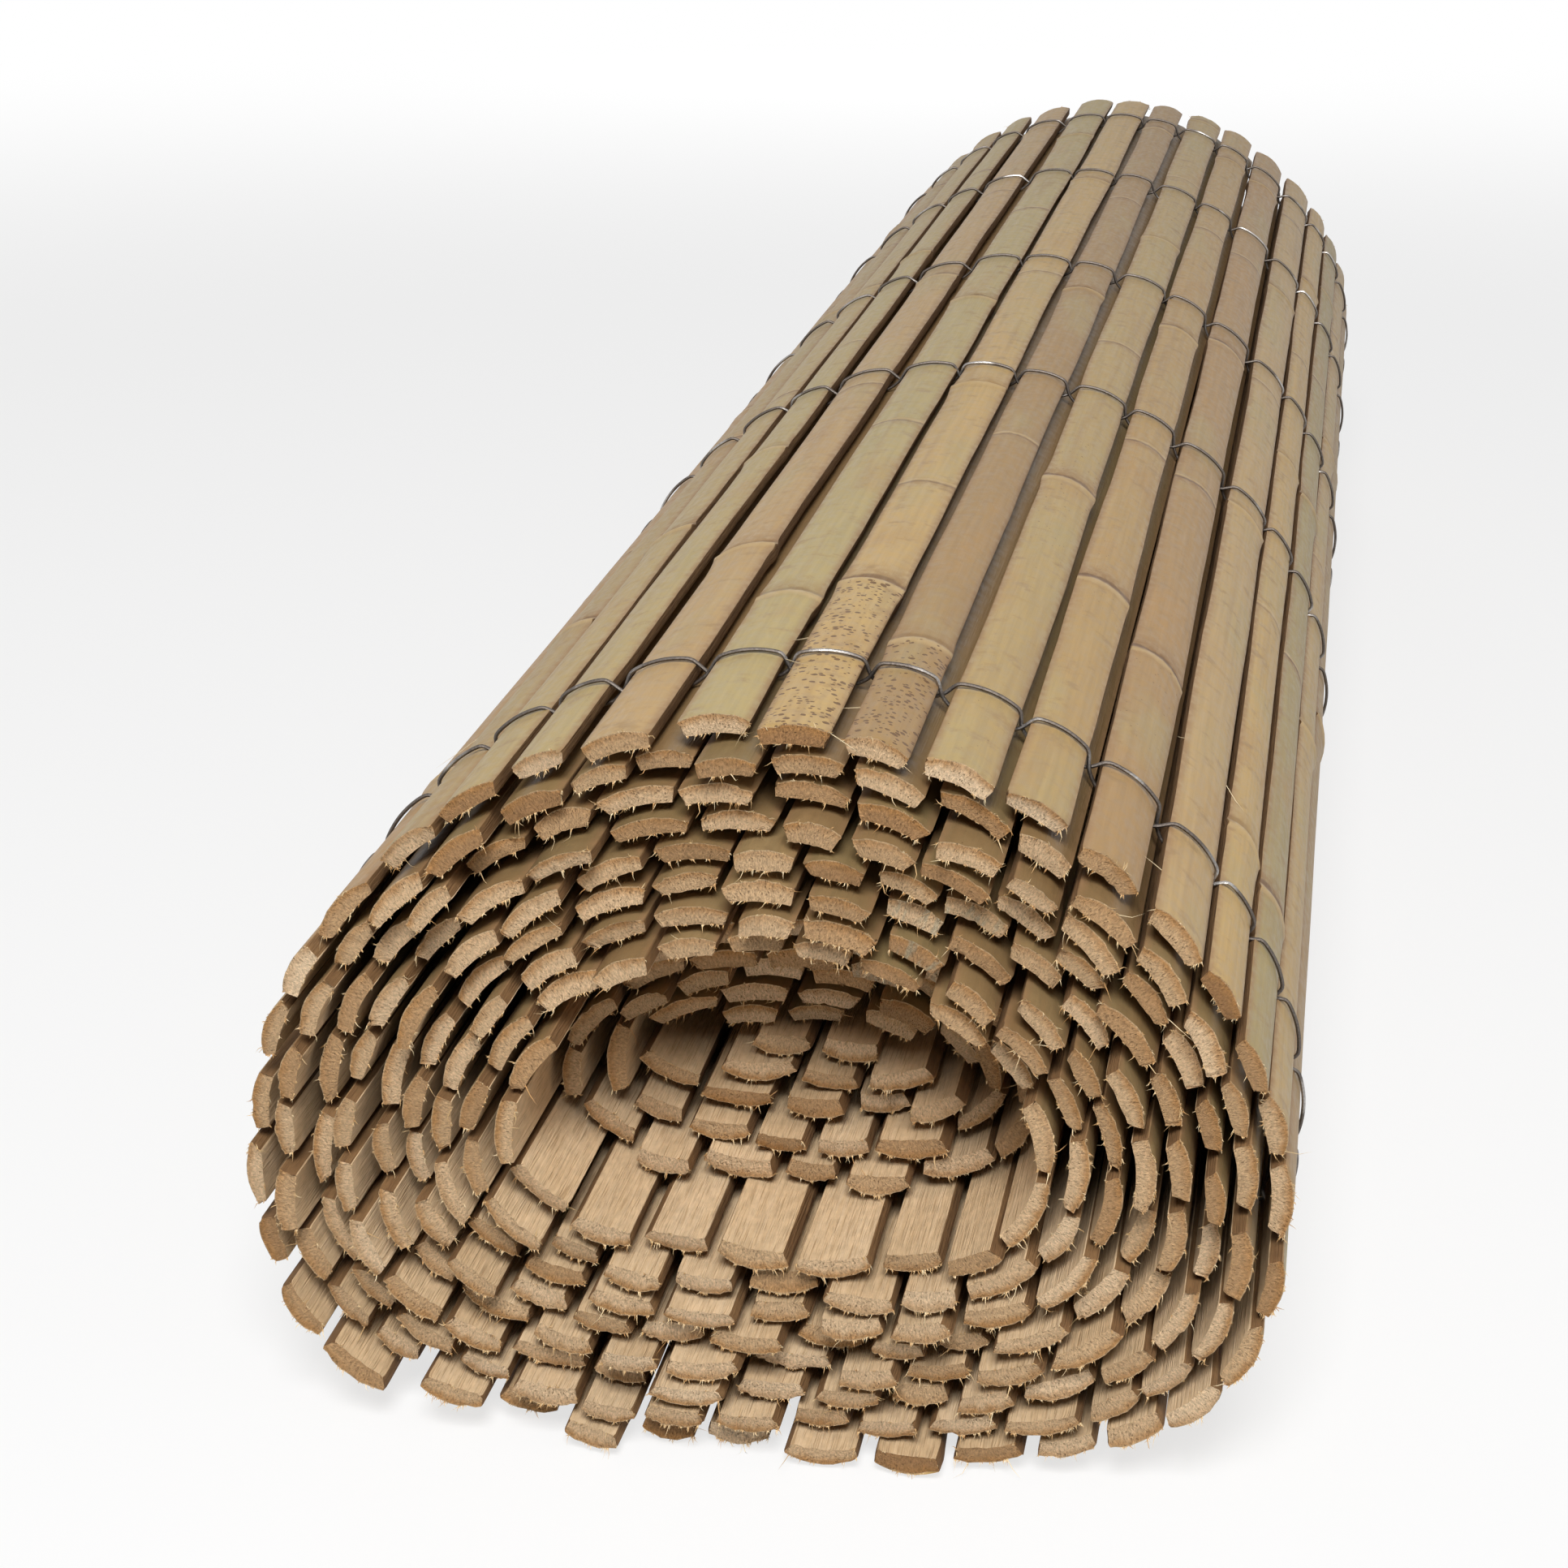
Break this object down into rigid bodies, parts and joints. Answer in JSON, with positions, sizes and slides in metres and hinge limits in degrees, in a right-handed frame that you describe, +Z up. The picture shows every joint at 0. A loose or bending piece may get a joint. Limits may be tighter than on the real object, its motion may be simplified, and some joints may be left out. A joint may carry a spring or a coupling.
{
  "type": "bamboo screening mat",
  "caption": "Rolled bamboo screening mat lying on its side: split-cane slats bound side by side with rows of wire and wound into a slumped oval roll.",
  "frame": {"origin": "middle of the roll's footprint, on the floor under it", "axes": "+Z up, +Y along the roll from its near end to its far end, +X to the right seen from the near end"},
  "size_m": [0.237, 1.0582, 0.1739],
  "materials": {
    "bamboo": "satin rind, raw split sides and sawn ends",
    "binding_wire": "dull drawn wire"
  },
  "bodies": {
    "root": {"core_slats": "bamboo", "middle_turn_slats": "bamboo", "outer_turn_slats": "bamboo", "wire_row_1": "binding_wire", "wire_row_2": "binding_wire", "wire_row_3": "binding_wire", "wire_row_4": "binding_wire", "wire_row_5": "binding_wire"}
  },
  "joints": []
}
